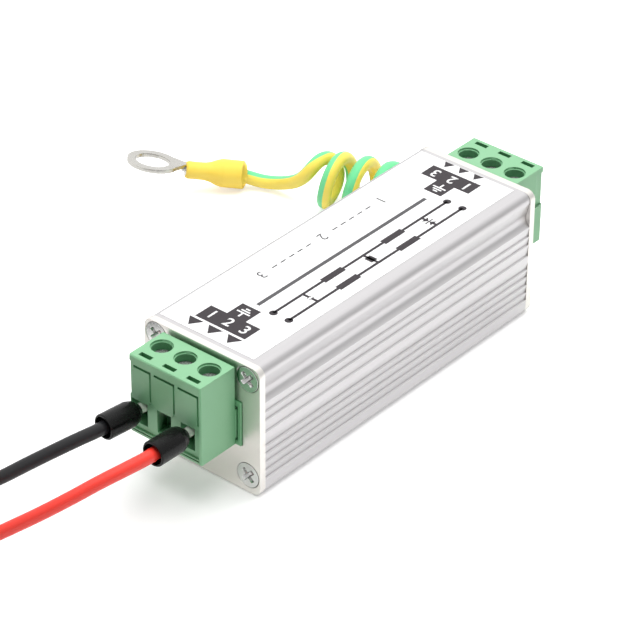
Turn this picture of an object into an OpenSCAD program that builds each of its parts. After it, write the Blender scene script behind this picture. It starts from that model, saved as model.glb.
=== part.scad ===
// In-line data surge protector: a split aluminium extrusion with two end
// plates, a board inside, a three-pole pluggable screw terminal at each end,
// and a coiled earth lead with a ring terminal.
// +Y runs from the output end to the input end, +X is the ribbed side,
// and the origin is the middle of the case's base.

/* [Case] */
// Width of the case
case_w = 24.8; // [24.6:0.1:25.4]
// Height of the case
case_h = 24.6; // [24.4:0.1:25.2]
// Length over both end plates
case_l = 72; // [70:0.5:90]
// Thickness of an end plate
plate_t = 1.3; // [1.2:0.1:1.5]
// Depth of the saw-tooth ribs on the sides
rib_depth = 0.25; // [0.15:0.05:0.4]
// Height of the short lip over each rib line
rib_lip = 0.15; // [0.1:0.05:0.35]

/* [Plate screws] */
// Distance of a plate screw from the middle of the plate, sideways
screw_x = 9.75; // [9.6:0.05:9.8]
// Diameter of a countersunk screw head
screw_head_d = 4.5; // [4.4:0.1:4.7]

/* [Terminal blocks] */
// Distance between poles
pitch = 5.08; // [5:0.04:5.08]
// Height of the plug body
plug_h = 15; // [14.8:0.1:15.2]
// Depth of the plug body outside the header
plug_d = 8.25; // [8:0.05:8.6]
// Height of the plug's underside above the base
plug_z = 8.85; // [8.8:0.05:8.95]
// Diameter of the holes over the clamp screws, at their mouths
clamp_hole_d = 3.85; // [3.7:0.05:3.9]

/* [Board] */
// Thickness of the circuit board
board_t = 1.6; // [1.4:0.1:1.6]
// Height of the board's top face above the base
board_z = 8.7; // [8.6:0.05:8.75]

/* [Earth lead] */
// Diameter of the earth lead
earth_d = 2.6; // [2.4:0.1:2.6]
// Outer diameter of the curled stretch
curl_d = 11.4; // [11:0.1:12]
// Hole in the ring terminal
ring_hole_d = 6.4; // [6:0.1:6.6]
// Outer diameter of the ring
ring_d = 9.5; // [9.2:0.1:11]

/* [Output leads] */
// Diameter of the black lead and the red lead
lead_d = 2.3; // [2:0.1:2.4]
// Diameter of the collar on a ferrule
collar_d = 4.5; // [4.3:0.1:4.6]
// Diameter of a stored coil at the middle of its turns
coil_d = 22; // [20:1:26]

/* [Hidden] */
$fn = 48;
e = 0.01;
output = 0;
input = 180;

// case
split_z = case_h / 2;
half_w = case_w / 2;
wall = 1.5;
scoop_wall = 2.1;
extrusion_l = case_l - 2 * plate_t;
corner_r = 1.6;
scoop_r = 2;
scoop_at = [half_w + 1.05, split_z + 7.45];
crown_r = 1.5;
lower_ribs = [-9.16, -7.6, -6.01, -4.35, -2.79];
upper_ribs = [2.27, 3.95];
tongue_w = 0.5;
tongue_h = 0.8;
screw_z = [split_z - 9, split_z + 9.75];
port_d = 4.7;
screw_d = 2.5;
screw_l = 8;
screw_hole_d = 3.1;
sink_d = screw_head_d + 0.36;
sink_depth = 1.1;
head_land = 0.2;
cross_l = 3;
cross_w = 0.8;
cross_depth = 1.35;

// terminal blocks
poles = [-pitch, 0, pitch];
plug_w = 3 * pitch;
header_out = 0.45;
plug_back = header_out + 0.15;
plug_front = plug_back + plug_d;
plug_top = plug_z + plug_h;
screw_row = 3.74;
probe_row = 7.47;
wire_z = 14.5;
panel_w = 4.4;
panel_z = [plug_top - 7.4, plug_top - 1.6];
panel_depth = 0.6;
pad_depth = 0.12;
pad_gap = [0.35, 0.45];
opening_w = 3;
opening_z = [11, 15.45];
frame_w = 14.4;
frame_depth = 0.35;
frame_z = [plug_z + 1.1, opening_z[1] + 0.2];
gable_h = 0.74;
gable_x = [-0.7, -0.15];
key_depth = 0.43;
key_l = 2.2;
key_z = [plug_z + 7.35, plug_top - 1.05];
pocket_w = 4.3;
pocket_y = [1.25, 6.3];
pocket_z = [10.8, 19.9];
cage_w = 4.1;
cage_l = 4.7;
cage_z = [12.85, 19.55];
cage_wall = 0.5;
cage_floor = 0.85;
cage_top = 1.4;
bar_z = 15.25;
bar_t = 0.8;
bar_w = 2.4;
web_y = [0.85, 1.3];
clamp_head_d = 3.5;
clamp_head_z = [20.55, 22.05];
clamp_bore_d = clamp_head_d + 0.1;
clamp_mouth_h = 0.35;
clamp_shank_d = 2.8;
clamp_tip_z = 16.6;
nose_l = 9.6;
nose_z = [9.75, 16];
nose_w = 15.2;
guide_l = 2.6;
guide_w = nose_w + 0.4;
guide_z = [nose_z[0] + 0.45, nose_z[1] - 0.4];
header_w = 17.2;
header_l = 12;
header_z = [board_z, board_z + 8.4];
header_wall = 0.85;
header_lip = 0.6;
header_lip_l = 3;
header_cavity_l = 10;
pin = 1;
pin_z = 12.9;
socket_w = 2.4;
socket_bore = 1.16;

// board
board_w = 21.5;
board_l = extrusion_l - 2.4;
rail = 0.9;

// earth lead
earth_z = 4.4;
flange_t = 0.9;
grommet_bore = 2.6;
grommet_d = 4;
flange_d = 6;
curl_turn = 21;
curl_from = [-39.6, 39];
curl_ends = [-2, 14.2];
ring_turn = 229;
ring_tilt = 11;
ring_roll = 8;
mouth_at = [-52.4, 35.4, 2.56];
ring_out = 18.5;
ring_up = 0.9;
ring_t = 0.8;
barrel_at = 6.4;
barrel_d = 2.4;
sleeve_l = 12.2;

// points along the earth lead, from the case to the ring terminal
earth_inner_route = [
    [0, 37.3, 4.4], [0, 39, 4.4], [0, 42.5, 4.3], [-0.4, 46.5, 3.6], [-2, 50.5, 2.6],
    [-5.6, 53.6, 1.8], [-10.5, 55, 1.5], [-15.5, 54.9, 2], [-20, 53.6, 3.4],
    [-23.6, 51.4, 5.4], [-25.8, 48.8, 7.6]
];
earth_outer_route = [
    [-42.6, 37.9, 4.9], [-44.6, 37.9, 3.2], [-47, 38.1, 2], [-49.6, 37.4, 1.6], [-51.8, 35.7, 1.9]
];

// points along the leads, from the collar to the coil
black_route = [
    [-7, -56.9, 14.2], [-9, -60.9, 13], [-11.5, -64.3, 11.2], [-14.3, -67.2, 9], [-17.5, -69.6, 6.7],
    [-21, -71.6, 4.5], [-24.8, -73.4, 2.7], [-28.9, -75.1, 1.5], [-33.1, -76.9, 1.15]
];
red_route = [
    [4.1, -57.8, 14.2], [2.5, -62.4, 13.3], [0.4, -66.6, 11.7], [-2.2, -70.3, 9.7], [-5.2, -73.6, 7.5],
    [-8.3, -76.7, 5.3], [-11.6, -79.9, 3.3], [-15, -83.1, 1.8], [-18.7, -86.4, 1.15]
];
black_coil_at = [-42.3, -69];
red_coil_at = [-15, -98];
black_coil_from = -65;
red_coil_from = 132;
black_way = -1;
red_way = 1;
coil_turns = 1.95;

// a tail after its coil: distance along it and height, up to its collar
tail_route = [[4, 3.6], [8, 3.3], [12, 2.7]];
tail_l = 16;

// green moulding, aluminium and the other finishes
green = "#5fae80";
alu = "#c9c9cb";
steel = "#b9babd";
tin = "#d8d8d4";

// Tube of round section swept along points; from_dir and to_dir square off its ends
function unit(v) = v / norm(v);
function bend(points, i) = unit(points[min(i + 1, len(points) - 1)] - points[max(i - 1, 0)]);
function side_of(t) = unit(cross(t, abs(t[2]) < 0.9 ? [0, 0, 1] : [0, 1, 0]));
function ring_points(c, t, r, n) = [
    for (k = [0 : n - 1])
        c + r * (cos(360 * k / n) * side_of(t) + sin(360 * k / n) * cross(side_of(t), t))
];
module swept_tube(points, d, from_dir, to_dir, n = 8) {
    last = len(points) - 1;
    tangents = [for (i = [0 : last]) i == 0 ? from_dir : i == last ? to_dir : bend(points, i)];
    rings = [for (i = [0 : last]) ring_points(points[i], tangents[i], d / 2, n)];
    sides = [
        for (i = [0 : last - 1]) for (k = [0 : n - 1])
            [i * n + k, i * n + (k + 1) % n, (i + 1) * n + (k + 1) % n, (i + 1) * n + k]
    ];
    caps = [[for (k = [0 : n - 1]) n - 1 - k], [for (k = [0 : n - 1]) last * n + k]];
    polyhedron([for (r = rings) each r], concat(sides, caps), convexity = 4);
}

// Point at a distance along the curl's axis, to its front side and above the floor
function on_curl(along, front, up) = [
    curl_from[0] + along * cos(curl_turn) + front * sin(curl_turn),
    curl_from[1] + along * sin(curl_turn) - front * cos(curl_turn),
    up
];
curl_dir = [cos(curl_turn), sin(curl_turn), 0];
function on_circle(centre, angle, z) = [
    centre[0] + coil_d / 2 * cos(angle), centre[1] + coil_d / 2 * sin(angle), z
];

// Block between two corners
module block(low, high) {
    translate(low) cube(high - low);
}

// Extrusion along Y of a section drawn in X and Z
module along_y(length) {
    rotate([90, 0, 0]) linear_extrude(length, center = true) children();
}

// Place children at both sides of the case
module both_sides() {
    children();
    mirror([1, 0, 0]) children();
}

// Outline of one side of the lower shell, from the base up to the split
function lower_side() = concat(
    [for (a = [-90 : 10 : 0]) [half_w - corner_r + corner_r * cos(a), corner_r + corner_r * sin(a)]],
    [for (z = lower_ribs) each [[half_w, split_z + z - rib_lip], [half_w - rib_depth, split_z + z]]],
    [[half_w, split_z - 1.5], [half_w, split_z - rib_lip], [half_w - rib_depth, split_z]]
);

// Outline of one side of the upper shell, from the split up to the top
function upper_side() = concat(
    [[half_w - rib_depth, split_z]],
    [for (z = upper_ribs) each [[half_w, split_z + z - rib_lip], [half_w - rib_depth, split_z + z]]],
    [for (a = [238.3 : -7.1 : 167]) scoop_at + scoop_r * [cos(a), sin(a)]],
    [for (a = [-13 : 10.3 : 90.1]) [half_w - 1.65, case_h - crown_r] + crown_r * [cos(a), sin(a)]]
);

module screw_ports(z) {
    both_sides() translate([screw_x, z]) circle(d = port_d);
}

module screw_bores(z) {
    both_sides() translate([screw_x, z]) circle(d = screw_d);
}

// Sub-parts of the case
module lower_shell() {
    color(alu) along_y(extrusion_l) {
        difference() {
            union() {
                difference() {
                    both_sides() polygon(concat([[-e, 0]], lower_side(), [[-e, split_z]]));
                    translate([wall - half_w, wall]) square([case_w - 2 * wall, split_z]);
                }
                intersection() {
                    screw_ports(screw_z[0]);
                    translate([-half_w + 1, 0.5]) square([case_w - 2, split_z]);
                }
                both_sides() translate([board_w / 2 - 0.75, board_z - board_t - 0.1 - rail])
                    square([1.2, rail]);
                both_sides() translate([board_w / 2 - 0.75, board_z + 0.1]) square([1.2, rail]);
                both_sides() translate([half_w - wall + 0.1, split_z - e]) square([tongue_w, tongue_h + e]);
            }
            screw_bores(screw_z[0]);
        }
    }
}

module upper_shell() {
    color(alu) along_y(extrusion_l) {
        difference() {
            union() {
                difference() {
                    both_sides() polygon(concat([[-e, split_z]], upper_side(), [[-e, case_h]]));
                    translate([scoop_wall - half_w, split_z - 1])
                        square([case_w - 2 * scoop_wall, split_z + 1 - wall]);
                }
                intersection() {
                    screw_ports(screw_z[1]);
                    translate([-half_w + 1.6, split_z]) square([case_w - 3.2, split_z - 0.5]);
                }
            }
            screw_bores(screw_z[1]);
            both_sides() translate([half_w - wall + 0.05, split_z - 1])
                square([tongue_w + 0.1, tongue_h + 1.1]);
        }
    }
}

module rounded_plate_outline() {
    r = corner_r;
    square([case_w - 2 * r, case_h], center = true);
    square([case_w, case_h - 2 * r], center = true);
    for (x = [-1, 1]) for (z = [-1, 1])
        translate([x * (half_w - r), z * (split_z - r)]) circle(r);
}

// End plate, drawn at the output end
module end_plate() {
    difference() {
        translate([0, plate_t / 2 - case_l / 2, split_z]) along_y(plate_t) rounded_plate_outline();
        block([-header_w / 2 - 0.1, -case_l / 2 - 1, header_z[0] - 0.1],
            [header_w / 2 + 0.1, -case_l / 2 + plate_t + 1, header_z[1] + 0.1]);
        for (z = screw_z) both_sides() translate([screw_x, -case_l / 2, z]) rotate([-90, 0, 0]) {
            translate([0, 0, -1]) cylinder(d = screw_hole_d, h = plate_t + 2);
            translate([0, 0, -e]) cylinder(d1 = sink_d, d2 = screw_hole_d, h = sink_depth);
        }
    }
}

module output_end_plate() {
    color(alu) end_plate();
}

module input_end_plate() {
    color(alu) difference() {
        rotate([0, 0, input]) end_plate();
        translate([0, case_l / 2 - plate_t - 1, earth_z]) rotate([-90, 0, 0])
            cylinder(d = grommet_d, h = plate_t + 2);
    }
}

// Countersunk self-tapping screw with a cross recess, its head's face at the origin
module plate_screw() {
    difference() {
        union() {
            cylinder(d = screw_head_d, h = head_land);
            translate([0, 0, head_land])
                cylinder(d1 = screw_head_d, d2 = screw_hole_d - 0.04, h = sink_depth - head_land);
            cylinder(d = screw_d, h = screw_l);
        }
        intersection() {
            translate([0, 0, -e]) cylinder(d1 = cross_l, d2 = cross_l - 1.7, h = cross_depth);
            for (a = [45, 135]) rotate(a) block([-cross_l, -cross_w / 2, -1], [cross_l, cross_w / 2, 2]);
        }
    }
}

module plate_screws() {
    for (z = screw_z) both_sides() translate([screw_x, -case_l / 2, z]) rotate([-90, 0, 0]) plate_screw();
}

module output_plate_screws() {
    color(steel) plate_screws();
}

module input_plate_screws() {
    color(steel) rotate([0, 0, input]) plate_screws();
}

module label() {
    color("white") block([-10.9, -33.9, case_h], [9.3, 33.9, case_h + 0.12]);
}

// Board and its three protection stages
module circuit_board() {
    color("darkgreen") difference() {
        block([-board_w / 2, -board_l / 2, board_z - board_t], [board_w / 2, board_l / 2, board_z]);
        for (turn = [output, input]) rotate([0, 0, turn]) for (x = poles)
            translate([x, pin_drop_y, 0]) cylinder(d = 1.5, h = board_z + 1);
        translate([0, earth_pad_y, 0]) cylinder(d = 1.4, h = board_z + 1);
        for (x = tube_leads) translate([x, tube_y, 0]) cylinder(d = 1.1, h = board_z + 1);
        for (x = fuse_x) for (y = fuse_leads) translate([x, y, 0]) cylinder(d = 0.9, h = board_z + 1);
        for (x = diode_x) for (y = diode_leads) translate([x, y, 0]) cylinder(d = 0.9, h = board_z + 1);
    }
}
pin_drop_y = header_l - header_out - case_l / 2 + 1.4;
earth_pad_y = 21;
earth_strip_y = 24.5;
tube_y = 16;
tube_z = board_z + 4.6;
tube_leads = [-4.4, 0, 4.4];
fuse_x = [-5.5, 5.5];
fuse_leads = [-1.5, 3.5];
diode_x = [-6.5, 0, 6.5];
diode_leads = [-17, -7];
lead_tip = board_z - board_t - 1.2;

// Three-electrode gas discharge tube lying across the board
module gas_tube() {
    color("lightgray") {
        translate([-5, tube_y, tube_z]) rotate([0, 90, 0]) {
            cylinder(d = 7.6, h = 10);
            for (z = [0, 4.4, 8.8]) translate([0, 0, z]) cylinder(d = 8.2, h = 1.2);
        }
        for (x = tube_leads) translate([x, tube_y, lead_tip]) cylinder(d = 0.9, h = tube_z - lead_tip - 3);
    }
}

// Resettable fuse standing on two leads
module line_fuse(x) {
    middle = (fuse_leads[0] + fuse_leads[1]) / 2;
    color("goldenrod") {
        translate([x - 1.3, middle, board_z + 5.2]) rotate([0, 90, 0]) cylinder(d = 7.6, h = 2.6);
        for (y = fuse_leads) translate([x, y, lead_tip]) cylinder(d = 0.7, h = board_z + 4 - lead_tip);
    }
}

module line_fuse_a() {
    line_fuse(fuse_x[0]);
}

module line_fuse_b() {
    line_fuse(fuse_x[1]);
}

// Suppressor diode lying along the board on two bent leads
module clamp_diode(x) {
    middle = (diode_leads[0] + diode_leads[1]) / 2;
    r = 1.8;
    z = board_z + r + 0.1;
    color("dimgray") {
        translate([x, middle, z]) rotate([90, 0, 0]) cylinder(r = r, h = 6.4, center = true);
        translate([x, middle, z]) rotate([90, 0, 0])
            cylinder(d = 0.7, h = diode_leads[1] - diode_leads[0], center = true);
        for (y = diode_leads) translate([x, y, lead_tip]) {
            cylinder(d = 0.7, h = z - lead_tip);
            translate([0, 0, z - lead_tip]) sphere(d = 0.7);
        }
    }
}

module clamp_diode_a() {
    clamp_diode(diode_x[0]);
}

module clamp_diode_b() {
    clamp_diode(diode_x[1]);
}

module clamp_diode_c() {
    clamp_diode(diode_x[2]);
}

// Terminal blocks are drawn at the output end, and turned round for the input end.
// out(y) is a place counted outwards from the face of the end plate.
function out(y) = -case_l / 2 - y;

module at_end(turn) {
    rotate([0, 0, turn]) children();
}

module header() {
    low = out(header_out);
    difference() {
        block([-header_w / 2, low, header_z[0]], [header_w / 2, low + header_l, header_z[1]]);
        block([header_wall - header_w / 2, low - 1, header_z[0] + 0.9],
            [header_w / 2 - header_wall, low + header_cavity_l, header_z[1] - 0.9]);
        block([header_lip - header_w / 2, low - 1, header_z[0] + 0.9],
            [header_w / 2 - header_lip, low + header_lip_l, header_z[1] - 0.9]);
        for (x = poles) translate([x - pin / 2, low, pin_z - pin / 2]) cube([pin, header_l + 1, pin]);
    }
}

module header_pins() {
    tip = out(-2.2);
    for (x = poles) {
        block([x - pin / 2, tip, pin_z - pin / 2], [x + pin / 2, pin_drop_y + pin / 2, pin_z + pin / 2]);
        block([x - pin / 2, pin_drop_y - pin / 2, lead_tip], [x + pin / 2, pin_drop_y + pin / 2, pin_z]);
    }
}

// A panel over a wire opening: a pad with a narrow gap above it and on its right
module panel_recess(left, right, front) {
    difference() {
        block([left, front - 1, panel_z[0]], [right, front + panel_depth, panel_z[1]]);
        block([left - 1, front + pad_depth, panel_z[0] - 1],
            [right - pad_gap[0], front + 1, panel_z[1] - pad_gap[1]]);
    }
}

// Shallow recess round the wire openings, with a gable over each pillar
module frame_recess() {
    w = (pitch - opening_w) / 2;
    along_y(2 * frame_depth) {
        translate([-frame_w / 2, frame_z[0]]) square([frame_w, frame_z[1] - frame_z[0]]);
        for (x = [-pitch / 2, pitch / 2]) translate([x, frame_z[1]])
            polygon([[-w, -e], [w, -e], [w, 0], [gable_x[1], gable_h], [gable_x[0], gable_h], [-w, 0]]);
    }
}

// Plug housing: panels and wire openings in front, clamp holes and probe
// slots on top, a pocket for each rising cage, and a nose for the header
module plug_housing() {
    front = out(plug_front);
    difference() {
        union() {
            block([-plug_w / 2, front, plug_z], [plug_w / 2, out(plug_back), plug_top]);
            block([-nose_w / 2, out(plug_back) - e, nose_z[0]], [nose_w / 2, out(plug_back) + nose_l, nose_z[1]]);
            block([-guide_w / 2, out(plug_back) - e, guide_z[0]],
                [guide_w / 2, out(plug_back) + guide_l, guide_z[1]]);
        }
        for (x = poles) {
            panel_recess(max(x - panel_w / 2, key_depth + 0.6 - plug_w / 2), x + panel_w / 2, front);
            block([x - opening_w / 2, front - 1, opening_z[0]],
                [x + opening_w / 2, out(pocket_y[1]) + e, opening_z[1]]);
            block([x - pocket_w / 2, out(pocket_y[1]), pocket_z[0]],
                [x + pocket_w / 2, out(pocket_y[0]), pocket_z[1]]);
            translate([x, out(screw_row), pocket_z[1] - e]) cylinder(d = 3, h = 5);
            translate([x, out(screw_row), clamp_head_z[0] - 0.05]) cylinder(d = clamp_bore_d, h = 5);
            translate([x, out(screw_row), plug_top - clamp_mouth_h]) cylinder(d = clamp_hole_d, h = 5);
            block([x - 1.27, out(probe_row) - 0.45, plug_top - 1.3],
                [x + 1.27, out(probe_row) + 0.45, plug_top + 1]);
            block([x - bar_w / 2 - 0.1, out(web_y[1]) - 0.1, pin_z - socket_w / 2 - 0.1],
                [x + bar_w / 2 + 0.1, out(web_y[0]) + 0.05, bar_z + bar_t + 0.1]);
            block([x - socket_w / 2 - 0.05, out(web_y[0]), pin_z - socket_w / 2 - 0.05],
                [x + socket_w / 2 + 0.05, out(-7), pin_z + socket_w / 2 + 0.05]);
            block([x - 0.75, out(-6), pin_z - 0.75], [x + 0.75, out(plug_back) + nose_l + 1, pin_z + 0.75]);
        }
        translate([0, front, 0]) frame_recess();
        block([-plug_w / 2 + 0.35, front - 1, plug_z + 0.6], [plug_w / 2 - 0.35, front + 0.25, plug_z + 0.85]);
        block([-plug_w / 2 - 1, front - 1, key_z[0]], [-plug_w / 2 + key_depth, front + key_l, key_z[1]]);
    }
}

// Contact: a bar through the cage's window, a web and a socket for the header pin
module contacts() {
    for (x = poles) {
        block([x - bar_w / 2, out(5.9), bar_z], [x + bar_w / 2, out(web_y[0]), bar_z + bar_t]);
        block([x - bar_w / 2, out(web_y[1]), pin_z - socket_w / 2],
            [x + bar_w / 2, out(web_y[0]), bar_z + bar_t]);
        difference() {
            block([x - socket_w / 2, out(web_y[1]), pin_z - socket_w / 2],
                [x + socket_w / 2, out(-6.8), pin_z + socket_w / 2]);
            block([x - socket_bore / 2, out(web_y[0]), pin_z - socket_bore / 2],
                [x + socket_bore / 2, out(-7), pin_z + socket_bore / 2]);
        }
    }
}

module clamp_screw(x) {
    translate([x, out(screw_row), 0]) difference() {
        union() {
            translate([0, 0, clamp_tip_z]) cylinder(d = clamp_shank_d, h = clamp_head_z[0] - clamp_tip_z + e);
            translate([0, 0, clamp_head_z[0]]) cylinder(d = clamp_head_d, h = clamp_head_z[1] - clamp_head_z[0]);
        }
        rotate(30) block([-2, -0.3, clamp_head_z[1] - 0.7], [2, 0.3, clamp_head_z[1] + 1]);
    }
}

// Rising cage: floor, two sides and a threaded top bar, open along the wire
module cage(x) {
    translate([x, out(screw_row), 0]) difference() {
        block([-cage_w / 2, -cage_l / 2, cage_z[0]], [cage_w / 2, cage_l / 2, cage_z[1]]);
        block([cage_wall - cage_w / 2, -cage_l, cage_z[0] + cage_floor],
            [cage_w / 2 - cage_wall, cage_l, cage_z[1] - cage_top]);
        translate([0, 0, cage_z[1] - cage_top - 1]) cylinder(d = 2.95, h = cage_top + 2);
    }
}

module output_header() {
    color(green) at_end(output) header();
}

module input_header() {
    color(green) at_end(input) header();
}

module output_header_pins() {
    color(tin) at_end(output) header_pins();
}

module input_header_pins() {
    color(tin) at_end(input) header_pins();
}

module output_plug() {
    color(green) at_end(output) plug_housing();
}

module input_plug() {
    color(green) at_end(input) plug_housing();
}

module output_contacts() {
    color(tin) at_end(output) contacts();
}

module input_contacts() {
    color(tin) at_end(input) contacts();
}

module output_clamp_screw(i) {
    color(steel) at_end(output) clamp_screw(poles[i]);
}

module input_clamp_screw(i) {
    color(steel) at_end(input) clamp_screw(poles[i]);
}

module output_cage(i) {
    color(tin) at_end(output) cage(poles[i]);
}

module input_cage(i) {
    color(tin) at_end(input) cage(poles[i]);
}

// Earth lead: grommet, bare conductor to the board, two free stretches and a curl
module earth_grommet() {
    face = case_l / 2;
    color("#20211f") translate([0, face, earth_z]) rotate([-90, 0, 0]) rotate_extrude() difference() {
        union() {
            translate([0, -plate_t - flange_t]) square([flange_d / 2 - 0.2, flange_t]);
            translate([0, -plate_t - e]) square([grommet_d / 2, plate_t + 2 * e]);
            polygon([[0, 0], [flange_d / 2, 0], [flange_d / 2, 0.5], [flange_d / 2 - 0.4, flange_t], [0, flange_t]]);
        }
        translate([0, -5]) square([grommet_bore / 2, 10]);
    }
}

module earth_conductor() {
    color("#3f9c50") translate([0, earth_strip_y, earth_z]) rotate([-90, 0, 0])
        cylinder(d = earth_d, h = earth_inner_route[0][1] - earth_strip_y);
    color("#b87333") translate([0, earth_pad_y, earth_z]) {
        rotate([-90, 0, 0]) cylinder(d = 1.1, h = earth_strip_y - earth_pad_y + 0.1);
        sphere(d = 1.1);
        cylinder(d = 1.1, h = board_z + 0.6 - earth_z);
    }
}

module earth_lead_inner() {
    color("#3f9c50") swept_tube(
        concat(earth_inner_route, [on_curl(curl_ends[1], -1.5, 9.6)]), earth_d, [0, 1, 0], -curl_dir);
}

module earth_curl() {
    color("#3f9c50") translate(on_curl(curl_ends[0], 0, curl_d / 2)) rotate([0, 90, curl_turn])
        cylinder(d = curl_d, h = curl_ends[1] - curl_ends[0]);
}

module earth_lead_outer() {
    color("#3f9c50") swept_tube(
        concat([on_curl(curl_ends[0], 0.2, 6.2)], earth_outer_route, [ring_point([0.2, 0, -0.5]), ring_point([3, 0, 0]),
            ring_point([barrel_at, 0, 0])]), earth_d, -curl_dir, ring_dir);
}
ring_dir = [cos(ring_turn) * cos(ring_tilt), sin(ring_turn) * cos(ring_tilt), sin(ring_tilt)];
// A place on the terminal: x along it from the sleeve's mouth, z towards its upper side
function ring_point(p) = mouth_at + p[0] * ring_dir
    + p[2] * [-cos(ring_turn) * sin(ring_tilt), -sin(ring_turn) * sin(ring_tilt), cos(ring_tilt)];

module on_terminal() {
    translate(mouth_at) rotate([0, 0, ring_turn]) rotate([0, -ring_tilt, 0]) rotate([ring_roll, 0, 0]) children();
}

// Insulating sleeve: a funnel for the lead, a neck over the crimped barrel
module ring_sleeve() {
    color("gold") on_terminal() rotate([0, 90, 0]) rotate_extrude() polygon([
        [2.15, 0], [2.45, 0], [2.65, 0.25], [2.65, 5.2], [2.4, 6.2], [1.9, 7.4], [1.68, 8.4], [1.62, 10.2],
        [1.68, 11.6], [1.5, 12.05], [barrel_d / 2, sleeve_l], [barrel_d / 2, 6.9], [1.5, 6.3], [2.1, 5.2]
    ]);
}

// Ring terminal: barrel on the lead, tongue and flat ring
module ring_terminal() {
    color(tin) on_terminal() {
        difference() {
            translate([barrel_at, 0, 0]) rotate([0, 90, 0]) cylinder(d = barrel_d, h = sleeve_l - barrel_at);
            translate([barrel_at - 1, 0, 0]) rotate([0, 90, 0]) cylinder(d = 1.5, h = 6);
        }
        translate([0, 0, ring_up - ring_t / 2]) linear_extrude(ring_t) difference() {
            union() {
                translate([ring_out, 0]) circle(d = ring_d);
                polygon([[sleeve_l, -0.6], [sleeve_l, 0.6], [13.4, 1.6], [15.2, 3.2], [15.2, -3.2], [13.4, -1.6]]);
            }
            translate([ring_out, 0]) circle(d = ring_hole_d);
        }
        block([sleeve_l - 0.6, -0.6, -0.2], [sleeve_l + 0.7, 0.6, 1.02]);
    }
}

// A ferrule: x is the wire's way into the terminal, the collar's mouth is at the origin
module collar() {
    r = collar_d / 2;
    rotate([0, 90, 0]) rotate_extrude() polygon([
        [r - 0.35, 0], [r - 0.15, 0], [r, 0.2], [r, collar_l - 2], [r - 0.3, collar_l - 1], [1.15, collar_l],
        [ferrule_d / 2, collar_l], [ferrule_d / 2, collar_inside], [lead_d / 2 + 0.2, collar_inside],
        [lead_d / 2 + 0.2, collar_inside - 1.5], [r - 0.4, collar_inside - 3]
    ]);
}

// The metal tube is round at the collar and pressed to a smaller size under the clamp
module ferrule() {
    r = ferrule_d / 2;
    press = 3.6;
    translate([collar_inside, 0, 0]) rotate([0, 90, 0]) rotate_extrude() polygon([
        [r - 0.2, 0], [r, 0], [r, press], [ferrule_tip_d / 2, press + 0.6], [ferrule_tip_d / 2, ferrule_l],
        [ferrule_tip_d / 2 - 0.2, ferrule_l], [ferrule_tip_d / 2 - 0.2, press + 0.6], [r - 0.2, press]
    ]);
}

// Each collar leans a little in its opening
module in_pole(i, lean, reach) {
    at = [poles[i], out(plug_front), wire_z];
    translate(at) rotate([0, 0, 90 - lean]) translate([-reach, 0, 0]) children();
}
function lead_start(i, lean, reach) = [
    poles[i] - (reach - collar_inside) * sin(lean), out(plug_front) - (reach - collar_inside) * cos(lean), wire_z
];
function lead_dir(lean) = [-sin(lean), -cos(lean), 0];
collar_l = 7.3;
collar_inside = 5.6;
ferrule_d = 1.8;
ferrule_tip_d = 1.5;
ferrule_l = 8.6;
black_lean = 6.6;
red_lean = 1.5;
black_reach = 8;
red_reach = 8.2;

module black_collar() {
    color("#222222") in_pole(0, black_lean, black_reach) collar();
}

module black_ferrule() {
    color(tin) in_pole(0, black_lean, black_reach) ferrule();
}

module red_collar() {
    color("#222222") in_pole(2, red_lean, red_reach) collar();
}

module red_ferrule() {
    color(tin) in_pole(2, red_lean, red_reach) ferrule();
}

// A lead ends a little inside its coil's ring
function coil_dir(angle, way) = [-way * sin(angle), way * cos(angle), 0];

module black_lead() {
    start = lead_start(0, black_lean, black_reach);
    color("#222222") swept_tube(
        concat([start], black_route, [on_circle(black_coil_at, black_coil_from, lead_d / 2)]),
        lead_d, lead_dir(black_lean), coil_dir(black_coil_from, black_way));
}

module red_lead() {
    start = lead_start(2, red_lean, red_reach);
    color("#d63a30") swept_tube(
        concat([start], red_route, [on_circle(red_coil_at, red_coil_from, lead_d / 2)]),
        lead_d, lead_dir(red_lean), coil_dir(red_coil_from, red_way));
}

module coil(centre) {
    translate([centre[0], centre[1], 0]) rotate_extrude() {
        translate([coil_d / 2 - lead_d / 2, lead_d / 2]) square([lead_d, lead_d]);
        translate([coil_d / 2, lead_d / 2]) circle(d = lead_d);
        translate([coil_d / 2, 1.5 * lead_d]) circle(d = lead_d);
    }
}

// Straight run after a coil, from its upper turn down to a collar on the floor
function tail_angle(from, way) = from + way * 360 * coil_turns;
function on_tail(centre, from, way, along, z) =
    on_circle(centre, tail_angle(from, way), z) + along * coil_dir(tail_angle(from, way), way);

module tail(centre, from, way) {
    dir = coil_dir(tail_angle(from, way), way);
    points = [
        on_tail(centre, from, way, 0, 1.5 * lead_d),
        for (p = tail_route) on_tail(centre, from, way, p[0], p[1]),
        on_tail(centre, from, way, tail_l, collar_d / 2),
        on_tail(centre, from, way, tail_l + collar_inside, collar_d / 2)
    ];
    swept_tube(points, lead_d, dir, dir);
}

module at_tail(centre, from, way) {
    translate(on_tail(centre, from, way, tail_l, collar_d / 2))
        rotate([0, 0, tail_angle(from, way) + way * 90]) children();
}

module black_coil() {
    color("#222222") coil(black_coil_at);
}

module black_tail() {
    color("#222222") tail(black_coil_at, black_coil_from, black_way);
}

module black_tail_collar() {
    color("#222222") at_tail(black_coil_at, black_coil_from, black_way) collar();
}

module black_tail_ferrule() {
    color(tin) at_tail(black_coil_at, black_coil_from, black_way) ferrule();
}

module red_coil() {
    color("#d63a30") coil(red_coil_at);
}

module red_tail() {
    color("#d63a30") tail(red_coil_at, red_coil_from, red_way);
}

module red_tail_collar() {
    color("#222222") at_tail(red_coil_at, red_coil_from, red_way) collar();
}

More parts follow.
